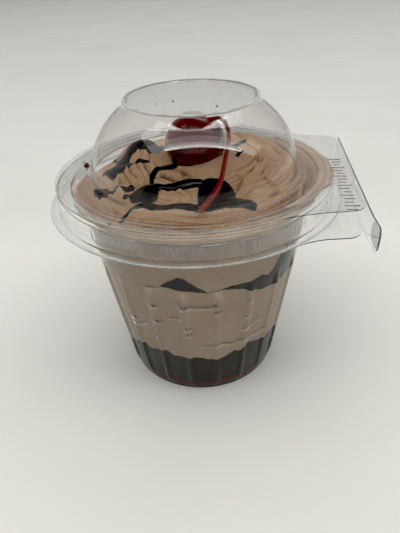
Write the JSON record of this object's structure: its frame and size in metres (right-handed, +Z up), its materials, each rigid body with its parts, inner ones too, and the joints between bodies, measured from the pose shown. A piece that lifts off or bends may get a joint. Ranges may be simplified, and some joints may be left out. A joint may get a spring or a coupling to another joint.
{
  "type": "chocolate mousse in a lidded cup",
  "caption": "Chocolate mousse piped over sauce and a dark base in a clear fluted cup, with a cherry on top, under a domed lid with a tear strip.",
  "frame": {"origin": "centre of the cup's flat base, on the cup's axis", "axes": "+Z up the cup's axis; +X towards the lid's tab and the tear strip; -Y is the front"},
  "size_m": [0.1166, 0.1114, 0.1133],
  "materials": {
    "clear_plastic": "clear thin formed sheet, glossy",
    "jelly": "dark red jelly, wet and translucent",
    "dark_chocolate": "near-black chocolate sauce, glossy",
    "mousse": "pale milk-chocolate mousse, soft and matt",
    "cherry": "dark red preserved cherry, very glossy"
  },
  "bodies": {
    "root": {"cup": "clear_plastic", "lid": "clear_plastic", "tear_strip": "clear_plastic", "cherry_jelly": "jelly", "chocolate_base": "dark_chocolate", "mousse_lower": "mousse", "sauce_layer": "dark_chocolate", "mousse_swirl": "mousse", "cherry": "cherry"}
  },
  "joints": []
}
